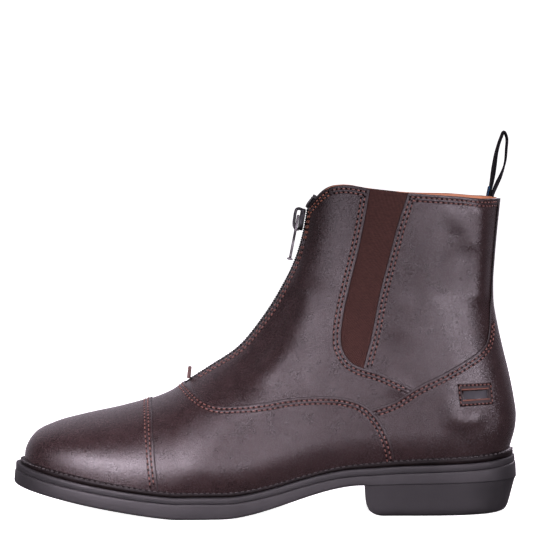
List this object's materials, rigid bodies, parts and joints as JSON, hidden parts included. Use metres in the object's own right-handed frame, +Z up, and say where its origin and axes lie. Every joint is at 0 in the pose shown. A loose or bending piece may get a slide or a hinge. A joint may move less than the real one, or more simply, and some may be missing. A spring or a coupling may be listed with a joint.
{
  "type": "jodhpur boot",
  "caption": "Left ankle-high jodhpur riding boot with a front zip, elastic side gussets, toe cap, heel pull loop and a welted rubber sole with a block heel.",
  "frame": {"origin": "on the floor under the middle of the boot's box", "axes": "+X from toe to heel, -Y to the outer side of the foot, +Z up from the floor"},
  "size_m": [0.2827, 0.1002, 0.2128],
  "materials": {
    "sole_rubber": "matt moulded rubber",
    "insole_leather": "plain tan",
    "upper_leather": "fine grain, satin",
    "gusset_elastic": "ribbed elastic",
    "zip_chain": "moulded teeth on woven tape",
    "zip_metal": "black coated",
    "loop_webbing": "narrow woven webbing"
  },
  "bodies": {
    "boot": {"outsole": "sole_rubber", "heel": "sole_rubber", "welt": "sole_rubber", "insole": "insole_leather", "upper": "upper_leather", "toe_cap": "upper_leather", "heel_counter": "upper_leather", "gusset_outer": "gusset_elastic", "gusset_inner": "gusset_elastic", "zip": "zip_chain", "zip_slider": "zip_metal", "zip_end_tab": "upper_leather", "pull_loop": "loop_webbing"},
    "pull_tab": {"zip_pull": "zip_metal"}
  },
  "joints": [
    {"name": "pull_tab_swing", "type": "hinge", "parent": "boot", "child": "pull_tab", "pos_m": [0.0186, 0.00083, 0.16451], "axis": [0, 1, 0], "range_deg": [0, 165]}
  ]
}
